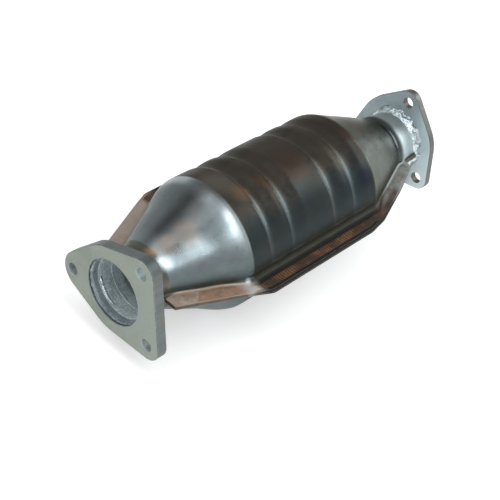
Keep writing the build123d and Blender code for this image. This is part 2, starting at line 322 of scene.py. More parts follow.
def plate_finish(
    name, face, face_cloud, near_face_painted_light, side, side_stain, bolts, hole_wall_light_shade, face_rough, side_rough, face_dull
):
    """Flat faces in one finish, painted lighter towards the near side as a painted reflection; sheared
    sides, and the walls of bolt holes in a colour that paints their light and shade, in others.
    """
    material, tree, surface, place = new_material(name)
    normal = put(tree, "ShaderNodeNewGeometry").outputs["Normal"]
    across = calc(tree, "ABSOLUTE", put(tree, "ShaderNodeSeparateXYZ", {0: normal}).outputs["X"])
    on_face = ease(tree, across, 0.80, 0.97)
    on_side = calc(tree, "SUBTRACT", 1.0, on_face)
    cloudy = patchy(tree, place, 38.0, 0.35, 0.68)
    fine = patchy(tree, place, 420.0, 0.3, 0.7)
    sheared = grained(tree, place, 45.0, 260.0)
    stain = patchy(tree, place, 75.0, 0.50, 0.66)
    side_colour = blend(tree, stain, side, side_stain)
    streaky = ease(tree, sheared, 0.35, 0.70, 0.0, 0.30)
    side_colour = blend(tree, streaky, side_colour, tuple(0.5 * c for c in side))
    spots = put(tree, "ShaderNodeSeparateXYZ", {0: place})
    flat_colour = blend(tree, cloudy, face, face_cloud)
    # Painted reflection: the face turns lighter towards the near side
    flat_colour = blend(tree, ease(tree, spots.outputs["Y"], -0.006, -0.042), flat_colour, near_face_painted_light)
    in_hole = 0.0
    for y, z in bolts:
        over = calc(tree, "SUBTRACT", spots.outputs["Y"], y)
        up = calc(tree, "SUBTRACT", spots.outputs["Z"], z)
        inside = calc(tree, "LESS_THAN", hypotenuse(tree, over, up), hole_reach)
        in_hole = calc(tree, "MAXIMUM", in_hole, inside)
    in_hole = overlap(tree, in_hole, on_side)
    colour = blend(tree, on_face, side_colour, flat_colour)
    # The bolt-hole walls take a painted tone: painted light on the inlet, painted shade on the outlet
    colour = blend(tree, in_hole, colour, blend(tree, fine, hole_wall_light_shade, tuple(1.3 * c for c in hole_wall_light_shade)))
    metal = calc(tree, "MULTIPLY_ADD", in_hole, -0.55, 1.0)
    feed(tree, surface.inputs["Metallic"], calc(tree, "MULTIPLY_ADD", on_face, -face_dull, metal))
    colour = blend(tree, rubbed(tree, place, 0.0009, 0.65), colour, (0.60, 0.64, 0.62))
    feed(tree, surface.inputs["Base Color"], colour)
    rough = put(tree, "ShaderNodeMix", {0: on_face, 2: side_rough, 3: face_rough}).outputs[0]
    uneven = calc(tree, "MULTIPLY_ADD", fine, 0.10, calc(tree, "SUBTRACT", rough, 0.05))
    feed(tree, surface.inputs["Roughness"], uneven)
    texture = calc(tree, "MULTIPLY_ADD", on_side, sheared, overlap(tree, fine, 0.3))
    relief(tree, surface, texture, 0.00012)
    return material


inlet_plate = plate_finish(
    "inlet_plate",
    face=(0.310, 0.345, 0.305),
    face_cloud=(0.262, 0.298, 0.262),
    near_face_painted_light=(0.318, 0.356, 0.320),
    side=(0.158, 0.184, 0.184),
    side_stain=(0.175, 0.176, 0.165),
    bolts=((0.0471, -0.0092), (-0.0283, 0.0387), (-0.0408, -0.0253)),
    # Hole walls lightened: painted light
    hole_wall_light_shade=(0.38, 0.43, 0.43),
    face_rough=0.58,
    side_rough=0.48,
    face_dull=0.0,
)
outlet_plate = plate_finish(
    "outlet_plate",
    face=(0.42, 0.505, 0.53),
    face_cloud=(0.30, 0.365, 0.385),
    # Near part of the outlet face painted much lighter: a painted reflection
    near_face_painted_light=(0.74, 0.85, 0.88),
    side=(0.150, 0.153, 0.143),
    side_stain=(0.165, 0.155, 0.138),
    bolts=((-0.0056, 0.0426), (-0.0341, -0.0262), (0.0397, -0.0164)),
    # Hole walls near black: painted shade
    hole_wall_light_shade=(0.085, 0.080, 0.070),
    face_rough=0.46,
    side_rough=0.45,
    face_dull=0.5,
)
clad(nodes["inlet_flange"], inlet_plate)
clad(nodes["outlet_flange"], outlet_plate)


# Half shells: stamped stainless sheet, each one piece with its half necks, cones, beaded body,
# folds and seam flanges, which are welded to each other. The sheets are drawn here with eased
# corners and soft beads.
low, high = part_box("lower_shell")
shell_front, shell_back = low.x, high.x
body_r = -low.z
lower_width = high.y
upper_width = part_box("upper_shell")[1].y
sheet = 0.0016
seam_gap = 0.0004
neck_r = 0.0283
outlet_r = 0.0281
neck_swell = 0.0027
cone_start, cone_end = 0.034, 0.0965
rear_start, waist_start, waist_end, rear_neck = 0.2495, 0.318, 0.3245, 0.3415
flange_front, flange_back = 0.026, 0.3275
widen_start, widen_end = 0.0885, 0.102
narrow_start, narrow_knee, narrow_end = 0.226, 0.247, 0.295
cone_strip, waist_strip, neck_strip = 0.0142, 0.0103, 0.0057
shoulder_start = 0.0880
fold_r, body_fold_extra = 0.0022, 0.0034
bead_stations = (0.1162, 0.1418, 0.1934, 0.2198)
bead_drop, bead_rise, bead_depth, bead_fade = 0.0068, 0.0150, 0.0024, 0.0025
crease_station, crease_reach, crease_depth = 0.3205, 0.0072, 0.0016


def eased_line(x, corners):
    """Heights at the stations x of a line through (station, height, easing) corners."""
    stations, heights, easings = np.array(corners).T
    slopes = np.diff(heights) / np.diff(stations)
    line = heights[0] + slopes[0] * (x - stations[0])
    for station, easing, change in zip(stations[1:-1], easings[1:-1], np.diff(slopes)):
        past = x - station
        eased = (past + easing) ** 2 / (4 * easing)
        bend = np.where(past > easing, past, np.where(past < -easing, 0.0, eased))
        line = line + change * bend
    return line


rear_profile = (
    (cone_end, body_r, 0.0010),
    (rear_start, body_r, 0.0020),
    (waist_start, outlet_r + neck_swell, 0.0040),
    (waist_end, outlet_r + neck_swell, 0.0020),
    (rear_neck, outlet_r, 0.0040),
    (shell_back, outlet_r, 0.001),
)

# The front cone: its slope in degrees at stations in mm, from the neck to the shoulder
cone_slopes = (
    (20.0, 0.0), (26.0, 5.0), (34.0, 19.0), (40.0, 25.5), (50.0, 26.5),
    (57.0, 23.0), (64.0, 23.0), (70.0, 27.5), (78.0, 30.0), (85.0, 27.0),
    (89.0, 22.5), (92.0, 20.5), (94.5, 13.0), (96.5, 3.0), (97.5, 0.0),
)
slope_x, slope_angle = np.array(cone_slopes).T
fine_x = np.arange(20.0, 97.55, 0.05)
rise = np.tan(np.radians(np.interp(fine_x, slope_x, slope_angle)))
rise = np.convolve(np.pad(rise, 20, mode="edge"), np.ones(41) / 41, mode="valid")
climb = np.concatenate([[0.0], np.cumsum(0.5 * (rise[1:] + rise[:-1]) * 0.05)])
cone_x = fine_x / 1000
cone_r = neck_r + (body_r - neck_r) * climb / climb[-1]


def shell_radius(x):
    """Outer radius of the sheet at the stations x, before its beads are pressed in."""
    x = np.asarray(x, float)
    return np.where(x < cone_x[-1], np.interp(x, cone_x, cone_r), eased_line(x, rear_profile))


def body_share(radius):
    """Nought on the cones and one on the body, told by the radius there."""
    return np.clip((radius - 0.052) / 0.006, 0.0, 1.0)


def seam_edge(x, width):
    """Half width of the seam flanges at a station, for a sheet of the given full half width."""

    def beside(station, strip):
        """Half width where the flange is a strip along the shell."""
        return float(shell_radius(station)) + strip

    corners = (
        (flange_front, beside(flange_front, cone_strip), 0.0010),
        (widen_start, beside(widen_start, cone_strip), 0.0022),
        (widen_end, width, 0.0022),
        (narrow_start, width, 0.0026),
        (narrow_knee, width - 0.004, 0.0022),
        (narrow_end, beside(narrow_end, cone_strip), 0.0040),
        (waist_end, beside(waist_end, waist_strip), 0.0010),
        (flange_back, beside(flange_back, neck_strip), 0.0010),
    )
    return eased_line(x, corners)


def close_stations():
    """Stations along the shell, closer together at beads, corners and ends."""
    runs = [np.arange(shell_front, shell_back, 0.0024)]
    for middle in bead_stations + (crease_station,):
        runs.append(np.arange(middle - 0.0077, middle + 0.0224, 0.0007))
    bends = (cone_start, shoulder_start, cone_end, widen_end)
    bends += (narrow_start, rear_start, narrow_end, waist_end)
    for corner in bends:
        runs.append(np.arange(corner - 0.0028, corner + 0.0028, 0.0007))
    stations = np.unique(np.round(np.concatenate(runs), 5))
    kept = [stations[0]]
    for station in stations:
        if station - kept[-1] >= 0.00045:
            kept.append(station)
    step = 0.0002
    fixed = (shell_front, flange_front - step, flange_front, flange_back, flange_back + step, shell_back)
    kept = [s for s in kept if min(abs(s - f) for f in fixed) > 0.0003]
    return np.array(sorted(kept + list(fixed)))


def pressed_in(x, angle):
    """Depth of the beads and the waist crease at a place, fading out above the seam."""
    fading = bead_fade / bead_depth * (1 - sin(angle))
    share = 0.0
    for middle in bead_stations:
        past = x - middle
        if 0 < past <= bead_drop:
            share = 1 - (1 - past / bead_drop) ** 2.2
        if bead_drop < past < bead_drop + bead_rise:
            share = 0.5 + 0.5 * cos(pi * (past - bead_drop) / bead_rise)
    if abs(x - crease_station) < crease_reach:
        share = crease_depth / bead_depth * 0.5 * (1 + cos(pi * (x - crease_station) / crease_reach))
    return bead_depth * share * max(0.0, 1 - fading)


def hand_work(x, angle):
    """Slight unevenness of the stamped sheet, always inwards, in metres."""
    slow = 0.5 + 0.5 * np.sin(0.9 + 118.0 * x + 1.7 * np.sin(2.0 * angle + 40.0 * x))
    ripple = 0.5 + 0.5 * np.sin(2.1 + 3.0 * angle + 61.0 * x)
    return 0.00016 * slow + 0.00012 * ripple


flange_steps, fold_steps, arc_steps = 8, 8, 84


def sheet_face(side, width, inset, stations):
    """Points of one face of a half shell: rows along X, columns from the right flange edge to the left."""
    rows = []
    fold = fold_r + inset
    for x in stations:
        radius = float(shell_radius(x)) - inset
        face = seam_gap / 2 + sheet - inset
        flanged = flange_front <= x <= flange_back
        if flanged:
            round_r = fold + body_fold_extra * float(body_share(shell_radius(x)))
            middle_y = sqrt((radius + round_r) ** 2 - (face + round_r) ** 2)
            start = atan2(face + round_r, middle_y)
            edge = float(seam_edge(x, width))
            quarter = [-pi / 2 - t / fold_steps * (pi / 2 + start) for t in range(fold_steps + 1)]
            flat = [(edge + (middle_y - edge) * t / flange_steps, face) for t in range(flange_steps)]
            curve = [(middle_y + round_r * cos(a), face + round_r + round_r * sin(a)) for a in quarter]
        else:
            face = seam_gap / 2
            start = asin(face / radius) + 0.10
            spread = [asin(face / radius) + 0.10 * t / fold_steps for t in range(fold_steps + 1)]
            flat = [(radius * cos(spread[0]), face)] * flange_steps
            curve = [(radius * cos(a), radius * sin(a)) for a in spread]
        half = flat + curve
        arc = []
        for k in range(1, arc_steps):
            angle = start + (pi - 2 * start) * k / arc_steps
            dent = pressed_in(x, angle)
            calm = min(1.0, 4.0 * min(k, arc_steps - k) / arc_steps)
            here = radius - dent - calm * float(hand_work(x, angle))
            arc.append((here * cos(angle), here * sin(angle)))
        outline = half + arc + [(-y, z) for y, z in reversed(half)]
        rows.append([(x, y, side * z) for y, z in outline])
    return np.array(rows)


def finish_piece(name, points, faces, flip=False, sharp=32.0):
    """Makes a mesh piece from points and faces, drops loose points and marks its sharp edges."""
    used = sorted({v for f in faces for v in f})
    index = {v: i for i, v in enumerate(used)}
    mesh = bpy.data.meshes.new(name)
    ordered = [tuple(index[v] for v in (reversed(f) if flip else f)) for f in faces]
    mesh.from_pydata([tuple(points[v]) for v in used], [], ordered)
    mesh.validate()
    mesh.polygons.foreach_set("use_smooth", [True] * len(mesh.polygons))
    mesh.set_sharp_from_angle(angle=radians(sharp))
    piece = bpy.data.objects.new(name, mesh)
    bpy.context.scene.collection.objects.link(piece)
    return piece


def half_shell(name, side, width):
    """Closed sheet of one stamped half, with its two faces and its cut edges."""
    stations = close_stations()
    outer = sheet_face(side, width, 0.0, stations)
    inner = sheet_face(side, width, sheet, stations)
    count_x, count_y = outer.shape[:2]
    quads = []
    for i in range(count_x - 1):
        flanged = flange_front <= stations[i] and stations[i + 1] <= flange_back
        first = 0 if flanged else flange_steps
        for j in range(first, count_y - 1 - first):
            a = i * count_y + j
            quads.append((a, a + 1, a + 1 + count_y, a + count_y))
    shift = count_x * count_y
    uses = {}
    for quad in quads:
        for a, b in zip(quad, quad[1:] + quad[:1]):
            key = (min(a, b), max(a, b))
            uses[key] = None if key in uses else (a, b)
    rims = [(b, a, a + shift, b + shift) for a, b in filter(None, uses.values())]
    faces = quads + [tuple(v + shift for v in reversed(q)) for q in quads] + rims
    points = np.concatenate([outer.reshape(-1, 3), inner.reshape(-1, 3)])
    return finish_piece(name, points, faces, flip=side < 0)


# Patch of colour round a point, with a ragged edge: heat colour, and also painted highlights and painted
# shade
heat_and_light_patch, ins, outs = new_group(
    "heat_and_light_patch",
    {"Vector": (VECTOR, None), "Centre": (VECTOR, None), "Reach": (FLOAT, 0.01), "Ragged": (FLOAT, 0.5)},
    {"Mask": FLOAT},
)
apart = put(heat_and_light_patch, "ShaderNodeVectorMath", {0: ins["Vector"], 1: ins["Centre"]}, operation="DISTANCE")
torn = put(heat_and_light_patch, "ShaderNodeTexNoise", {"Vector": ins["Vector"], "Scale": 110.0, "Detail": 4.0})
torn = overlap(heat_and_light_patch, calc(heat_and_light_patch, "SUBTRACT", torn.outputs[0], 0.5), ins["Ragged"])
share = calc(heat_and_light_patch, "ADD", calc(heat_and_light_patch, "DIVIDE", apart.outputs["Value"], ins["Reach"]), torn)
feed(heat_and_light_patch, outs["Mask"], ease(heat_and_light_patch, share, 1.0, 0.15))


def shell_finish():
    """Bare sheet that is silver on the necks and cones, and heat-brown and slate on the body."""
    material, tree, surface, place = new_material("shell_sheet")
    parts = put(tree, "ShaderNodeSeparateXYZ", {0: place})
    x, y, z = (parts.outputs[i] for i in range(3))
    radius = hypotenuse(tree, y, z)
    upward = calc(tree, "DIVIDE", z, calc(tree, "MAXIMUM", radius, 0.001))
    above = calc(tree, "ABSOLUTE", upward)
    sideways = calc(tree, "DIVIDE", y, calc(tree, "MAXIMUM", radius, 0.001))
    level = calc(tree, "ABSOLUTE", z)
    cloudy = patchy(tree, place, 24.0, 0.36, 0.66)
    mottled = patchy(tree, place, 90.0, 0.35, 0.65)
    grain = grained(tree, place, 55.0, 1100.0)

    # Silver front cone, a slate tint darkened into painted shade where it turns under and dark grey
    # painted shade over the far top, with a painted highlight along the shoulder
    silver = blend(tree, cloudy, (0.245, 0.292, 0.310), (0.195, 0.230, 0.243))
    # Painted shade: the slate tint darkens the cone where it turns under
    under_painted_shade = ease(tree, above, 0.62, 0.15, 0.0, 0.85)
    cone = blend(tree, under_painted_shade, silver, (0.066, 0.088, 0.086))
    # Painted shade: dark grey over the cone's far top
    far_top_painted_shade = overlap(
        tree,
        ease(tree, sideways, -0.62, -0.02),
        ease(tree, sideways, 0.36, 0.08, 0.5, 1.0),
        ease(tree, x, 0.079, 0.092, 0.90, 0.30),
        ease(tree, x, 0.034, 0.050, 0.35, 1.0),
    )
    cone = blend(tree, far_top_painted_shade, cone, (0.060, 0.062, 0.062))
    # Painted highlight: a pale band along the shoulder on the lit side
    lit_side = overlap(tree, ease(tree, upward, 0.40, 0.72), ease(tree, upward, 0.985, 0.90))
    shoulder_painted_highlight = overlap(tree, ease(tree, x, 0.0855, 0.0930, 0.0, 0.80), lit_side)
    cone = blend(tree, shoulder_painted_highlight, cone, (0.52, 0.585, 0.605))

    # Body, brown along the top and slate lower down, with painted highlights on the lit bead walls
    brown = blend(tree, cloudy, (0.076, 0.068, 0.055), (0.054, 0.050, 0.041))
    brown = blend(tree, ease(tree, upward, 0.945, 0.985), brown, (0.078, 0.068, 0.057))
    slate = blend(tree, cloudy, (0.034, 0.047, 0.051), (0.043, 0.049, 0.048))
    uneven = calc(tree, "MULTIPLY_ADD", calc(tree, "SUBTRACT", mottled, 0.5), 0.12, above)
    body = blend(tree, ease(tree, uneven, 0.62, 0.96), slate, brown)
    body = blend(tree, ease(tree, x, 0.228, 0.240, 0.0, 0.30), body, (0.034, 0.032, 0.028))
    # Painted highlight: the bead walls are lightened where the light falls on them
    on_wall = 0.0
    for station in bead_stations:
        rising = ease(tree, x, station - 0.0002, station + 0.0004)
        falling = ease(tree, x, station + 0.0064, station + 0.0012)
        on_wall = calc(tree, "MAXIMUM", on_wall, overlap(tree, rising, falling))
    lit_wall = ease(tree, upward, 0.99, 0.86, 0.30, 0.85)
    lit_wall = overlap(tree, lit_wall, ease(tree, upward, 0.45, 0.80, 0.55, 1.0))
    body = blend(tree, overlap(tree, on_wall, lit_wall), body, (0.092, 0.105, 0.110))

    # Rear cone, dull olive grey with painted shade over its far top, and a painted highlight on the rear
    # neck, lightest on its lower side; painted shade in the waist crease
    olive = blend(tree, cloudy, (0.118, 0.130, 0.118), (0.150, 0.166, 0.158))
    # Painted shade over the far top of the rear cone
    olive = blend(tree, ease(tree, sideways, -0.62, -0.05, 0.0, 0.8), olive, (0.060, 0.058, 0.046))
    # Painted highlight on the rear neck, lightest on its lower side
    painted_highlight_neck = ease(tree, x, 0.3215, 0.3290)
    painted_highlight_silver = blend(tree, ease(tree, upward, 0.70, 0.98), (0.60, 0.69, 0.71), (0.30, 0.34, 0.34))
    rear = blend(tree, painted_highlight_neck, olive, painted_highlight_silver)
    # Painted shade in the waist crease
    crease_painted_shade = overlap(tree, ease(tree, x, 0.3140, 0.3190, 0.0, 0.8), ease(tree, x, 0.3285, 0.3235))
    rear = blend(tree, crease_painted_shade, rear, (0.062, 0.074, 0.074))

    colour = blend(tree, ease(tree, x, 0.0955, 0.0975), cone, body)
    colour = blend(tree, ease(tree, x, 0.2490, 0.2515), colour, rear)
    neck = blend(tree, mottled, (0.16, 0.16, 0.145), (0.115, 0.115, 0.105))
    colour = blend(tree, ease(tree, x, 0.0338, 0.0325), colour, neck)

    # Fold, a soft olive band, and the seam flange beyond it: tan, then near black along the body as
    # painted shade, and then bare
    from_cone = ease(tree, x, 0.095, 0.098)
    on_body = overlap(tree, from_cone, ease(tree, x, 0.252, 0.249))
    past_cone = overlap(tree, from_cone, ease(tree, x, 0.322, 0.312))
    fold_share = calc(tree, "MULTIPLY_ADD", past_cone, 0.72, 0.15)
    fold_band = overlap(tree, ease(tree, level, 0.0170, 0.0060), fold_share)
    colour = blend(tree, fold_band, colour, (0.056, 0.054, 0.043))
    on_flange = overlap(tree, ease(tree, level, 0.0032, 0.0021), ease(tree, radius, 0.0300, 0.0325))
    strip_cone = blend(tree, cloudy, (0.46, 0.37, 0.30), (0.36, 0.29, 0.23))
    # Near black along the body: painted shade
    strip_body_painted_shade = blend(tree, cloudy, (0.012, 0.012, 0.011), (0.009, 0.009, 0.008))
    strip_rear = blend(tree, ease(tree, x, 0.262, 0.292), (0.040, 0.030, 0.022), (0.28, 0.30, 0.295))
    strip = blend(tree, ease(tree, x, 0.088, 0.100), strip_cone, strip_body_painted_shade)
    strip = blend(tree, ease(tree, x, 0.240, 0.255), strip, strip_rear)
    far_strip = overlap(tree, ease(tree, y, 0.0, 0.01, 0.0, 0.85), ease(tree, x, 0.115, 0.095))
    strip = blend(tree, far_strip, strip, (0.32, 0.27, 0.22))
    cut_edge = ease(tree, level, 0.00172, 0.00164, 0.0, 0.8)
    strip = blend(tree, cut_edge, strip, (0.050, 0.045, 0.040))
    strip = blend(tree, calc(tree, "GREATER_THAN", x, 0.3274), strip, (0.62, 0.64, 0.62))
    colour = blend(tree, on_flange, colour, strip)

    # Inside of the neck, dull grey-blue
    neck_inside = overlap(tree, ease(tree, radius, 0.0278, 0.0273), ease(tree, x, 0.030, 0.026))
    dull_blue = blend(tree, mottled, (0.30, 0.36, 0.38), (0.22, 0.26, 0.275))
    colour = blend(tree, neck_inside, colour, dull_blue)

    # Heat patches, some of them painted highlights and painted shade as marked: centre, reach, colour and
    # share
    patches = (
        ((0.0300, -0.0060, 0.0290), 0.0092, (0.33, 0.20, 0.125), 0.7),
        # Painted highlight on the front neck
        ((0.0355, -0.0178, 0.0262), 0.0110, (0.42, 0.48, 0.50), 0.9),
        ((0.0480, -0.0230, 0.0290), 0.0100, (0.190, 0.225, 0.238), 0.6),
        # Painted shade on the cone between its highlights
        ((0.0760, -0.0330, 0.0380), 0.0130, (0.150, 0.180, 0.190), 0.55),
        ((0.0440, -0.0105, 0.0330), 0.0120, (0.23, 0.185, 0.150), 0.7),
        ((0.0600, -0.0150, 0.0400), 0.0170, (0.22, 0.180, 0.145), 0.6),
        ((0.1134, -0.0153, 0.0566), 0.0130, (0.235, 0.150, 0.100), 0.8),
        ((0.1060, 0.0000, 0.0587), 0.0220, (0.165, 0.150, 0.128), 0.8),
        ((0.1415, -0.0161, 0.0563), 0.0130, (0.125, 0.080, 0.048), 0.7),
        ((0.1746, -0.0143, 0.0568), 0.0220, (0.092, 0.062, 0.050), 0.7),
        # Painted shade on the body's side, where a softbox would light it
        ((0.1750, -0.0420, 0.0410), 0.0220, (0.030, 0.034, 0.035), 0.6),
        ((0.2400, -0.0480, 0.0330), 0.0120, (0.026, 0.030, 0.050), 0.7),
        ((0.2461, -0.0135, 0.0570), 0.0120, (0.075, 0.050, 0.038), 0.7),
        # Painted shade over the last band, where the far softbox would light it
        ((0.2440, -0.0330, 0.0485), 0.0130, (0.030, 0.030, 0.027), 0.85),
        ((0.0657, -0.0530, 0.0018), 0.0110, (0.34, 0.165, 0.105), 0.8),
        ((0.0500, -0.0470, 0.0018), 0.0090, (0.42, 0.30, 0.22), 0.6),
        # Painted highlights at the fold corner by the shoulder: this patch and the next
        ((0.0860, -0.0640, 0.0018), 0.0070, (0.68, 0.70, 0.69), 0.95),
        ((0.0900, -0.0590, 0.0045), 0.0036, (0.60, 0.64, 0.65), 0.8),
        ((0.0495, 0.0500, 0.0018), 0.0120, (0.34, 0.225, 0.15), 0.7),
        ((0.0980, 0.0720, 0.0018), 0.0110, (0.30, 0.19, 0.13), 0.7),
        ((0.3109, -0.0212, 0.0261), 0.0120, (0.22, 0.25, 0.25), 0.6),
        ((0.2725, -0.0082, 0.0486), 0.0120, (0.085, 0.070, 0.045), 0.7),
    )
    for centre, reach, tint, share in patches:
        patch = use(tree, heat_and_light_patch, {"Vector": place, "Centre": centre, "Reach": reach})["Mask"]
        colour = blend(tree, overlap(tree, patch, share), colour, tint)
    colour = blend(tree, rubbed(tree, place, 0.0007, 0.25), colour, (0.42, 0.44, 0.44))

    # Scale dulls the metal on the flanges, in the neck and on the rear neck
    dull = 0.0
    for mask, share in ((on_flange, 0.6), (neck_inside, 0.8), (painted_highlight_neck, 0.3)):
        dull = calc(tree, "MAXIMUM", dull, overlap(tree, mask, share))
    feed(tree, surface.inputs["Metallic"], calc(tree, "SUBTRACT", 1.0, dull))
    streaky = ease(tree, grain, 0.3, 0.7, 0.965, 1.035)
    toned = put(tree, "ShaderNodeVectorMath", {0: colour, 1: streaky}, operation="MULTIPLY")
    feed(tree, surface.inputs["Base Color"], toned.outputs[0])

    rough = 0.31
    for mask, share in ((on_body, 0.08), (painted_highlight_neck, 0.20), (fold_band, 0.22), (on_flange, 0.12)):
        rough = calc(tree, "MULTIPLY_ADD", mask, share, rough)
    for uneven, share in ((mottled, 0.08), (grain, 0.06)):
        rough = calc(tree, "MULTIPLY_ADD", calc(tree, "SUBTRACT", uneven, 0.5), share, rough)
    feed(tree, surface.inputs["Roughness"], rough)
    feed(tree, surface.inputs["Specular Tint"], (0.62, 0.62, 0.60))
    relief(tree, surface, grain, 0.000002)
    return material


shell_sheet = shell_finish()
for name, node, side, width in (
    ("upper_sheet", "upper_shell", 1, upper_width),
    ("lower_sheet", "lower_shell", -1, lower_width),
):
    piece = half_shell(name, side, width)
    piece.data.materials.append(shell_sheet)
    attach(piece, "root")
    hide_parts(node)


# Roll seams: the two sheets are pressed and welded together between copper wheels, which
# leaves a copper-brown track of close ripples on both faces of each seam flange.
ripple_pitch = 0.0028
track_rise = 0.00034
track_sink = 0.0004
track_columns = 12
track_front, track_back, track_step = 0.0290, 0.3240, 0.00035


def seam_track(name, hand, side, width):
    """Thin closed band of ripples that follows one seam flange."""
    stations = np.arange(track_front, track_back, track_step)
    radius = shell_radius(stations)
    on_body = body_share(radius)
    flat_from = radius + fold_r + body_fold_extra * on_body - 0.0002
    flat_to = seam_edge(stations, width) - 0.0004
    margin = 0.0001 + 0.0016 * on_body * (stations < 0.236)
    inner = flat_from + 0.0003 * on_body
    outer = flat_to - margin
    run = np.concatenate([[0.0], np.cumsum(np.hypot(np.diff(stations), np.diff(outer)))])
    face = seam_gap / 2 + sheet
    points = []
    for i, station in enumerate(stations):
        end_share = min(1.0, (i + 1) / 12, (len(stations) - i) / 12)
        for j in range(track_columns + 1):
            t = 2 * j / track_columns - 1
            wander = 0.0003 * noise.noise(Vector((station * 60, hand * 3.0, t * 0.4)))
            across = 0.5 * (inner[i] + outer[i]) + t * 0.5 * (outer[i] - inner[i]) * (0.97 + 30 * wander)
            scale = 0.5 + 0.5 * cos(2 * pi * (run[i] + 0.0011 * (1 - t * t)) / ripple_pitch)
            crown = (1 - abs(t) ** 5) * end_share
            lift = -0.00005 + track_rise * crown * (0.45 + 0.55 * scale)
            points.append((station, hand * across, side * (face + lift)))
    row = track_columns + 1
    count = len(stations)
    base = len(points)
    for i in range(count):
        for x, y, z in (points[i * row], points[i * row + track_columns]):
            points.append((x, y, side * (face - track_sink)))
    faces = []
    for i in range(count - 1):
        for j in range(track_columns):
            a = i * row + j
            faces.append((a, a + 1, a + 1 + row, a + row))
        a, b, under = i * row, (i + 1) * row, base + 2 * i
        faces.append((under, under + 2, under + 3, under + 1))
        faces.append((a, b, under + 2, under))
        faces.append((b + track_columns, a + track_columns, under + 1, under + 3))
    last = (count - 1) * row
    faces.append((*reversed(range(row)), base, base + 1))
    faces.append((*range(last, last + row), base + 2 * count - 1, base + 2 * count - 2))
    return finish_piece(name, points, faces, flip=(hand * side) > 0, sharp=50.0)


def track_finish():
    """Dark copper-brown ripples, with brighter copper painted on their crests as painted highlights."""
    material, tree, surface, place = new_material("copper_track")
    parts = put(tree, "ShaderNodeSeparateXYZ", {0: place})
    x, y = parts.outputs["X"], parts.outputs["Y"]
    cloudy = patchy(tree, place, 46.0, 0.42, 0.62)
    burnt = patchy(tree, place, 160.0, 0.42, 0.60)
    crest = ease(tree, calc(tree, "ABSOLUTE", parts.outputs["Z"]), 0.00190, 0.00206)
    copper = blend(tree, cloudy, (0.044, 0.032, 0.025), (0.105, 0.058, 0.034))
    # Painted highlights: the crests of the ripples are painted brighter copper
    crest_highlight_share = calc(tree, "MULTIPLY_ADD", cloudy, 0.60, 0.20)
    crest = overlap(tree, crest, crest_highlight_share, ease(tree, x, 0.222, 0.246, 1.0, 0.35))
    copper = blend(tree, crest, copper, (0.36, 0.165, 0.072))
    copper = blend(tree, overlap(tree, burnt, 0.35), copper, (0.028, 0.024, 0.021))
    tan = blend(tree, ease(tree, x, 0.045, 0.062), (0.46, 0.375, 0.30), (0.36, 0.235, 0.165))
    tan = blend(tree, overlap(tree, cloudy, 0.8), tan, (0.34, 0.18, 0.105))
    tan = blend(tree, overlap(tree, burnt, 0.50), tan, (0.14, 0.105, 0.085))
    # Painted highlight: the tan turns pale at the strip's end by the shoulder
    tan = blend(tree, ease(tree, x, 0.078, 0.088), tan, (0.50, 0.48, 0.45))
    dull_tan = blend(tree, cloudy, (0.36, 0.31, 0.26), (0.34, 0.25, 0.185))
    front = blend(tree, ease(tree, y, -0.01, 0.01), tan, dull_tan)
    colour = blend(tree, ease(tree, x, 0.091, 0.097), front, copper)
    silver = blend(tree, cloudy, (0.30, 0.32, 0.31), (0.20, 0.165, 0.135))
    cone_edge = calc(tree, "MULTIPLY_ADD", calc(tree, "SUBTRACT", x, 0.2495), -0.4073, 0.0587)
    outward = calc(tree, "SUBTRACT", calc(tree, "ABSOLUTE", y), cone_edge)
    bare = overlap(tree, ease(tree, x, 0.246, 0.278, 0.0, 0.85), ease(tree, outward, 0.0100, 0.0055))
    bare = calc(tree, "MAXIMUM", bare, ease(tree, x, 0.278, 0.296))
    colour = blend(tree, bare, colour, silver)
    feed(tree, surface.inputs["Base Color"], colour)
    feed(tree, surface.inputs["Metallic"], ease(tree, x, 0.091, 0.110, 0.35, 0.6))
    feed(tree, surface.inputs["Roughness"], calc(tree, "MULTIPLY_ADD", burnt, 0.16, 0.38))
    fine = patchy(tree, place, 620.0, 0.3, 0.7)
    relief(tree, surface, fine, 0.00006)
    return material


copper_track = track_finish()
for name, hand, side, width in (
    ("near_upper_track", -1, 1, upper_width),
    ("far_upper_track", 1, 1, upper_width),
    ("near_lower_track", -1, -1, lower_width),
    ("far_lower_track", 1, -1, lower_width),
):
    track = seam_track(name, hand, side, width)
    track.data.materials.append(copper_track)
    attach(track, "root")


# Fillet welds: beads laid by hand behind the two flanges, where the necks pass into them.
# The inlet bead is low and heat-brown; the outlet one is coarse, lumpy and bright.
def ring_faces(turns, ring, first=0):
    """Faces of a closed ring whose outlines follow each other, turn after turn."""
    faces = []
    for i in range(turns):
        for j in range(ring):
            a, b = first + i * ring + j, first + i * ring + (j + 1) % ring
            c, d = first + (i + 1) % turns * ring + (j + 1) % ring, first + (i + 1) % turns * ring + j
            faces.append((a, b, c, d))
    return faces


def ring_piece(name, rows, turns, flip=False, sharp=45.0):
    """Closed ring round X from the station, radius and angle of the points of its outlines."""
    points = [(x, r * cos(a), r * sin(a)) for x, r, a in rows]
    return finish_piece(name, points, ring_faces(turns, len(rows) // turns), flip, sharp)


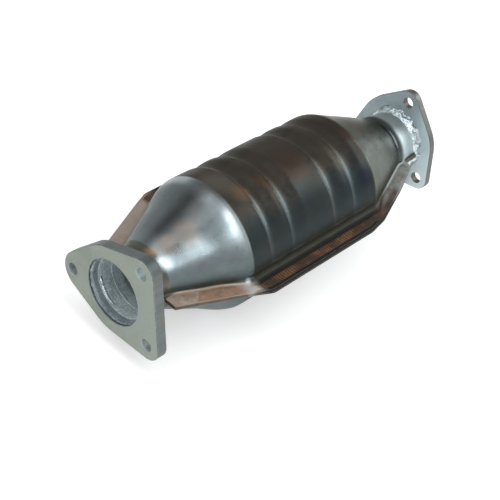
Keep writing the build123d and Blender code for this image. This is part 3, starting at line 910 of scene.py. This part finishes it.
def weld_ring(name, flange_x, toe_x, foot_r, leg, turns, waves, rough, seed):
    """Closed ring of weld metal between a flange face and a neck, uneven like a hand-laid bead."""
    steps_t = 12
    lead = 1 if toe_x > flange_x else -1
    rows = []
    for i in range(turns):
        angle = 2 * pi * i / turns
        spin = Vector((cos(angle), sin(angle), seed))
        swell = 1 + rough * 0.55 * noise.noise(spin * 3.1) + rough * 0.35 * noise.noise(spin * 9.0)
        scale = 0.5 + 0.5 * sin(waves * angle + 1.2 * noise.noise(spin * 2.0))
        for j in range(steps_t + 1):
            t = j / steps_t
            along = flange_x + (toe_x - flange_x) * (1 - (1 - t) ** 1.25) * (0.94 + 0.06 * swell)
            out = foot_r + leg * (1 - t) ** 1.25 * swell
            belly = sin(pi * t) * leg * (0.22 + 0.16 * rough * scale)
            bumpy = noise.noise(Vector((angle * 7.0, t * 2.2, seed)))
            lump = leg * 0.30 * rough * bumpy * sin(pi * t) ** 0.5
            rows.append((along - lead * (belly + lump) * 0.35, out + belly * 0.75 + lump, angle))
        rows.append((flange_x, foot_r - 0.0009, angle))
    return ring_piece(name, rows, turns, flip=lead > 0, sharp=40.0)


def weld_finish(name, bright, dull, stain, rough_low, rough_high, spatter):
    """Weld metal with its stains, fine ripples and stuck spatter."""
    material, tree, surface, place = new_material(name)
    cloudy = patchy(tree, place, 70.0, 0.40, 0.62)
    burnt = patchy(tree, place, 210.0, 0.50, 0.66)
    colour = blend(tree, cloudy, bright, dull)
    colour = blend(tree, overlap(tree, burnt, 0.7), colour, stain)
    stuck = speckled(tree, place, 420.0, 0.34, 1.0 - spatter)
    colour = blend(tree, stuck, colour, (0.75, 0.80, 0.82))
    feed(tree, surface.inputs["Base Color"], colour)
    rough = put(tree, "ShaderNodeMix", {0: cloudy, 2: rough_low, 3: rough_high}).outputs[0]
    feed(tree, surface.inputs["Roughness"], rough)
    fine = patchy(tree, place, 380.0, 0.25, 0.75)
    relief(tree, surface, calc(tree, "ADD", fine, stuck), 0.00022)
    return material


brown_bead = weld_finish(
    "brown_bead",
    bright=(0.26, 0.265, 0.255),
    dull=(0.17, 0.165, 0.155),
    stain=(0.28, 0.18, 0.115),
    rough_low=0.34,
    rough_high=0.50,
    spatter=0.22,
)
bright_bead = weld_finish(
    "bright_bead",
    bright=(0.66, 0.75, 0.78),
    dull=(0.38, 0.44, 0.47),
    stain=(0.085, 0.10, 0.12),
    rough_low=0.24,
    rough_high=0.38,
    spatter=0.10,
)
bead_bite = 0.0001
low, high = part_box("inlet_weld")
inlet_bead = weld_ring(
    "inlet_bead",
    flange_x=low.x,
    toe_x=high.x + 0.0004,
    foot_r=neck_r - bead_bite,
    leg=0.0044,
    turns=420,
    waves=46,
    rough=0.45,
    seed=3.0,
)
inlet_bead.data.materials.append(brown_bead)
low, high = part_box("outlet_weld")
outlet_bead = weld_ring(
    "outlet_bead",
    flange_x=high.x,
    toe_x=low.x - 0.0026,
    foot_r=outlet_r - bead_bite,
    leg=0.0038,
    turns=640,
    waves=34,
    rough=1.0,
    seed=8.0,
)
outlet_bead.data.materials.append(bright_bead)
for piece, node in ((inlet_bead, "inlet_weld"), (outlet_bead, "outlet_weld")):
    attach(piece, "root")
    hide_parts(node)


# Root welds: thin beads of weld metal laid inside each bore, on the end of the neck, to seal
# it to the flange.
def root_ring(name, from_x, to_x, wall_r, lip_r, turns, seed, swell_at):
    """Closed uneven ring in the corner between a bore and the end of the neck."""
    steps_t = 8
    rows = []
    toward = 1 if to_x > from_x else -1
    for i in range(turns):
        angle = 2 * pi * i / turns
        spin = Vector((cos(angle), sin(angle), seed))
        fat = 0.62 + 0.38 * cos(angle - swell_at)
        size = fat * (1 + 0.22 * noise.noise(spin * 6.0) + 0.20 * noise.noise(spin * 17.0))
        for j in range(steps_t + 1):
            t = j / steps_t
            along = to_x - (to_x - from_x) * (1 - t) * size
            out = wall_r - (wall_r - lip_r) * t * (0.55 + 0.45 * size)
            lump = 0.0003 * noise.noise(Vector((angle * 11.0, t * 3.0, seed)))
            rows.append((along - toward * lump, out - 0.0004 * sin(pi * t) - lump, angle))
        rows.append((to_x + toward * 0.0001, wall_r, angle))
    return ring_piece(name, rows, turns, flip=toward < 0)


pale_bead = weld_finish(
    "pale_bead",
    bright=(0.31, 0.36, 0.385),
    dull=(0.21, 0.25, 0.275),
    stain=(0.11, 0.135, 0.15),
    rough_low=0.38,
    rough_high=0.54,
    spatter=0.12,
)
low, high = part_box("inlet_root_weld")
inlet_root = root_ring(
    "inlet_root",
    from_x=low.x - 0.0010,
    to_x=high.x,
    wall_r=0.0285,
    lip_r=0.0268,
    turns=480,
    seed=5.0,
    swell_at=radians(-50),
)
low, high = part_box("outlet_root_weld")
outlet_root = root_ring(
    "outlet_root",
    from_x=high.x + 0.0006,
    to_x=low.x,
    wall_r=0.0283,
    lip_r=0.0266,
    turns=360,
    seed=9.0,
    swell_at=radians(70),
)
for piece, node in ((inlet_root, "inlet_root_weld"), (outlet_root, "outlet_root_weld")):
    piece.data.materials.append(pale_bead)
    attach(piece, "root")
    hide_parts(node)


# Neck beads: short beads of weld metal that close the split between the two half necks beside
# each flange. The seam welds, which lie between the sheets, get their finish here as well.
def short_bead(name, node, seed):
    """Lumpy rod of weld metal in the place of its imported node."""
    low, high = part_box(node)
    radius = 0.5 * (high.z - low.z)
    middle_y, middle_z = 0.5 * (low.y + high.y), 0.5 * (low.z + high.z)
    steps_x, steps_a = 40, 20
    points, faces = [], []
    for i in range(steps_x + 1):
        x = low.x + (high.x - low.x) * i / steps_x
        end = min(1.0, sqrt(max(0.02, 1 - (2 * i / steps_x - 1) ** 8)))
        for j in range(steps_a):
            a = 2 * pi * j / steps_a
            lump = 1 + 0.16 * noise.noise(Vector((x * 420, cos(a), sin(a) + seed)))
            ripple = 1 + 0.05 * sin(2 * pi * x / 0.0019 + cos(a))
            r = radius * end * min(lump * ripple, 1.12)
            points.append((x, middle_y + r * cos(a), middle_z + r * sin(a)))
    for i in range(steps_x):
        for j in range(steps_a):
            a, b = i * steps_a + j, i * steps_a + (j + 1) % steps_a
            faces.append((a, b, b + steps_a, a + steps_a))
    faces.append(tuple(reversed(range(steps_a))))
    faces.append(tuple(steps_x * steps_a + j for j in range(steps_a)))
    return finish_piece(name, points, faces, sharp=45.0)


tan_bead = weld_finish(
    "tan_bead",
    bright=(0.20, 0.20, 0.185),
    dull=(0.125, 0.12, 0.105),
    stain=(0.22, 0.155, 0.105),
    rough_low=0.46,
    rough_high=0.62,
    spatter=0.10,
)
neck_beads = [end + "_neck_bead_" + hand for end in ("inlet", "outlet") for hand in ("left", "right")]
for node in neck_beads:
    bead = short_bead(node.replace("neck_bead", "split_bead"), node, len(node) + 0.5)
    bead.data.materials.append(tan_bead)
    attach(bead, "root")
    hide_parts(node)
for node in ("seam_weld_left", "seam_weld_right"):
    clad(nodes[node], pale_bead)


# Inner cones and spacer: thin dull steel sheet. The cones are liners that lead the gas to the
# bricks, the front one held in the neck by a short run of weld. The spacer is a channel that
# keeps the bricks apart. Their colour is near white, painted light that lightens the bore.
def liner_finish(name, light, dark, metal):
    """Dull sheet with mottled scale, swirls from forming and a few bright specks."""
    material, tree, surface, place = new_material(name)
    cloudy = patchy(tree, place, 95.0, 0.38, 0.64)
    fine = patchy(tree, place, 480.0, 0.35, 0.65)
    colour = blend(tree, cloudy, light, dark)
    colour = blend(tree, overlap(tree, fine, 0.45), colour, tuple(0.5 * c for c in dark))
    bright = speckled(tree, place, 330.0, 0.26, 0.82)
    colour = blend(tree, bright, colour, (0.90, 0.95, 0.97))
    feed(tree, surface.inputs["Base Color"], colour)
    surface.inputs["Metallic"].default_value = metal
    feed(tree, surface.inputs["Roughness"], calc(tree, "MULTIPLY_ADD", fine, 0.18, 0.34))
    wave_inputs = {"Vector": place, "Scale": 130.0, "Distortion": 1.5}
    rings = put(tree, "ShaderNodeTexWave", wave_inputs, bands_direction="X")
    worked = calc(tree, "MULTIPLY_ADD", rings.outputs["Fac"], 0.5, fine)
    relief(tree, surface, worked, 0.00012)
    return material


# Near-white colours: painted light inside the bore
liner_sheet_painted_light = liner_finish(
    "liner_sheet_painted_light", light=(0.86, 0.96, 0.98), dark=(0.62, 0.72, 0.75), metal=0.10
)
for node in ("inlet_inner_cone", "outlet_inner_cone", "spacer_ring"):
    clad(nodes[node], liner_sheet_painted_light)


def inner_ring(name, station, reach, wall_r, depth, turns, rough, seed, heavy_share=0.0, sink=0.0):
    """Closed low ridge that runs round the inside of the neck, ending inside the wall."""
    steps_t = 8
    heavy_at = radians(-40)
    rows = []
    for i in range(turns):
        angle = 2 * pi * i / turns
        spin = Vector((cos(angle), sin(angle), seed))
        size = 1 + rough * (0.8 * noise.noise(spin * 7.0) + 0.9 * noise.noise(spin * 21.0))
        size = size * (1 - heavy_share * min(1.0, (1 - cos(angle - heavy_at)) / 0.24))
        shift = 0.0008 * rough * noise.noise(spin * 4.0)
        for j in range(steps_t + 1):
            t = j / steps_t
            here = wall_r + sink - depth * size * sin(pi * t) ** 0.8
            rows.append((station + shift + reach * (2 * t - 1), here, angle))
        rows.append((station, wall_r + sink + 0.0003, angle))
    return ring_piece(name, rows, turns)


# Near-white weld metal for the liner bead: painted glints in the dim bore
painted_glint_bead = weld_finish(
    "painted_glint_bead",
    bright=(0.92, 0.97, 1.0),
    dull=(0.70, 0.76, 0.80),
    stain=(0.12, 0.15, 0.17),
    rough_low=0.16,
    rough_high=0.30,
    spatter=0.10,
)
liner_bead = inner_ring(
    "liner_bead",
    station=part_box("inlet_inner_cone")[0].x + 0.0020,
    reach=0.0017,
    wall_r=0.0260,
    depth=0.0019,
    turns=420,
    rough=0.75,
    seed=2.0,
    heavy_share=0.95,
    sink=0.0005,
)
liner_bead.data.materials.append(painted_glint_bead)
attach(liner_bead, "root")
liner_step = inner_ring(
    "liner_step",
    station=0.0215,
    reach=0.0007,
    wall_r=0.02575,
    depth=0.00050,
    turns=200,
    rough=0.15,
    seed=6.0,
)
liner_step.data.materials.append(liner_sheet_painted_light)
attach(liner_step, "root")


# Catalyst bricks: extruded ceramic honeycomb with a coat of precious metal wash, tan and
# matte. The square channels run from end to end, inside a smooth skin.
cell_pitch = 0.00127
cell_wall = 0.00020
cell_reach = 0.0519
skin_inner = 0.0505
skin_turns = 180


def honeycomb_brick(name, node):
    """Block of open square channels with closed walls, and a round skin about it."""
    low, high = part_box(node)
    skin_r = 0.5 * (high.z - low.z)
    half = int(cell_reach / cell_pitch) + 1
    cells = []
    for i in range(-half, half):
        for j in range(-half, half):
            far_y, far_z = max(abs(i), abs(i + 1)) * cell_pitch, max(abs(j), abs(j + 1)) * cell_pitch
            if hypot(far_y, far_z) < cell_reach:
                cells.append((i, j))
    filled = set(cells)
    points, faces, index = [], [], {}

    def corner(x, y, z):
        """Number of a point, which is kept once."""
        key = (round(x, 6), round(y, 7), round(z, 7))
        if key not in index:
            index[key] = len(points)
            points.append(key)
        return index[key]

    inset = 0.5 * cell_wall
    around = ((0, 0), (1, 0), (1, 1), (0, 1))
    for i, j in cells:
        borders, mouths = [], []
        square = [((i + a) * cell_pitch, (j + b) * cell_pitch, 1 - 2 * a, 1 - 2 * b) for a, b in around]
        for x in (low.x, high.x):
            borders.append([corner(x, y, z) for y, z, _, _ in square])
            mouths.append([corner(x, y + inset * dy, z + inset * dz) for y, z, dy, dz in square])
        for k, (di, dj) in enumerate(((0, -1), (1, 0), (0, 1), (-1, 0))):
            n = (k + 1) % 4
            faces.append((borders[0][n], borders[0][k], mouths[0][k], mouths[0][n]))
            faces.append((borders[1][k], borders[1][n], mouths[1][n], mouths[1][k]))
            faces.append((mouths[0][n], mouths[0][k], mouths[1][k], mouths[1][n]))
            if (i + di, j + dj) not in filled:
                faces.append((borders[0][k], borders[0][n], borders[1][n], borders[1][k]))
    base = len(points)
    for x, r in ((low.x, skin_inner), (low.x, skin_r), (high.x, skin_r), (high.x, skin_inner)):
        for k in range(skin_turns):
            angle = 2 * pi * k / skin_turns
            points.append((x, r * cos(angle), r * sin(angle)))
    faces += ring_faces(4, skin_turns, base)
    return finish_piece(name, points, faces, sharp=30.0)


def brick_finish():
    """Matte tan ceramic, greyer in patches where the coat is thicker."""
    material, tree, surface, place = new_material("coated_ceramic")
    surface.inputs["Metallic"].default_value = 0.0
    cloudy = patchy(tree, place, 30.0, 0.35, 0.66)
    fine = patchy(tree, place, 900.0, 0.3, 0.7)
    colour = blend(tree, cloudy, (0.55, 0.47, 0.34), (0.42, 0.37, 0.29))
    colour = blend(tree, overlap(tree, fine, 0.3), colour, (0.33, 0.28, 0.21))
    feed(tree, surface.inputs["Base Color"], colour)
    feed(tree, surface.inputs["Roughness"], calc(tree, "MULTIPLY_ADD", fine, 0.12, 0.80))
    relief(tree, surface, fine, 0.00003)
    return material


coated_ceramic = brick_finish()
for node in ("front_brick", "rear_brick"):
    brick = honeycomb_brick(node.replace("brick", "honeycomb"), node)
    brick.data.materials.append(coated_ceramic)
    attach(brick, "root")
    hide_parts(node)


# Mats and insulation: pressed mineral fibre, off-white round the bricks, where it swells and
# holds them, and greyer behind the inner cones.
mat_inner_r = 0.0531
mat_gap = 0.0004
mat_turns = 120


def fibre_finish(name, pale, deep, fleck):
    """Matted fibres with flecks of swelling mineral."""
    material, tree, surface, place = new_material(name)
    surface.inputs["Metallic"].default_value = 0.0
    matted = grained(tree, place, 900.0, 260.0)
    loose = patchy(tree, place, 140.0, 0.32, 0.68)
    flecked = speckled(tree, place, 520.0, 0.42, 0.72)
    colour = blend(tree, loose, pale, deep)
    colour = blend(tree, ease(tree, matted, 0.35, 0.75, 0.0, 0.35), colour, deep)
    colour = blend(tree, flecked, colour, fleck)
    feed(tree, surface.inputs["Base Color"], colour)
    feed(tree, surface.inputs["Roughness"], calc(tree, "MULTIPLY_ADD", loose, 0.08, 0.88))
    relief(tree, surface, calc(tree, "MULTIPLY_ADD", matted, 0.7, loose), 0.00025)
    return material


def mat_ring(name, node):
    """Closed ring of matting that fills the room between a brick and the beaded sheet."""
    low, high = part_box(node)
    stations = np.linspace(low.x, high.x, 70)
    outline = [(x, body_r - sheet - mat_gap - pressed_in(x, pi / 2)) for x in stations]
    outline += [(x, mat_inner_r) for x in stations[::-3]]
    rows = [(x, r, 2 * pi * k / mat_turns) for k in range(mat_turns) for x, r in outline]
    return ring_piece(name, rows, mat_turns, flip=True, sharp=40.0)


swelling_mat = fibre_finish(
    "swelling_mat", pale=(0.70, 0.67, 0.58), deep=(0.56, 0.52, 0.43), fleck=(0.36, 0.27, 0.14)
)
packing = fibre_finish(
    "packing", pale=(0.66, 0.66, 0.63), deep=(0.50, 0.50, 0.47), fleck=(0.80, 0.80, 0.78)
)
for node in ("front_mat", "rear_mat"):
    wrap = mat_ring(node.replace("mat", "wrap"), node)
    wrap.data.materials.append(swelling_mat)
    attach(wrap, "root")
    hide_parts(node)
for node in ("inlet_insulation", "outlet_insulation"):
    clad(nodes[node], packing)


# Edge seals: rope of knitted stainless wire at each end of the mats, so that the gas doesn't
# wear the fibre away. Each is drawn as wires that weave round the ring.
rope_depth = 0.0036
strands = 14
wire_r = 0.00022
wire_turns, wire_sides = 540, 3


def knitted_ring(name, node, seed):
    """Closed wires, each a wave that loops round the ring at its own depth and phase."""
    low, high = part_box(node)
    outer_r = 0.5 * (high.z - low.z)
    inner_r = outer_r - rope_depth
    points, faces = [], []
    for strand in range(strands):
        layer = inner_r + 0.0006 + (rope_depth - 0.0012) * (strand % 4) / 3
        waves = 84 + 3 * (strand % 3)
        phase = 2.4 * strand + seed
        base = len(points)
        for k in range(wire_turns):
            angle = 2 * pi * k / wire_turns
            swing = sin(waves * angle + phase)
            x = 0.5 * (low.x + high.x) + (0.5 * (high.x - low.x) - 0.0003) * swing
            r = layer + 0.0003 * sin(2 * waves * angle + 1.3 * phase)
            for s in range(wire_sides):
                a = 2 * pi * s / wire_sides
                out = r + wire_r * sin(a)
                points.append((x + wire_r * cos(a), out * cos(angle), out * sin(angle)))
        faces += ring_faces(wire_turns, wire_sides, base)
    return finish_piece(name, points, faces, sharp=180.0)


wire_steel = liner_finish(
    "wire_steel", light=(0.52, 0.53, 0.52), dark=(0.36, 0.35, 0.32), metal=1.0
)
seals = [brick + "_brick_" + end + "_seal" for brick in ("front", "rear") for end in ("inlet", "outlet")]
for node in seals:
    seal = knitted_ring(node.replace("seal", "knit"), node, float(len(node)))
    seal.data.materials.append(wire_steel)
    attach(seal, "root")
    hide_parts(node)
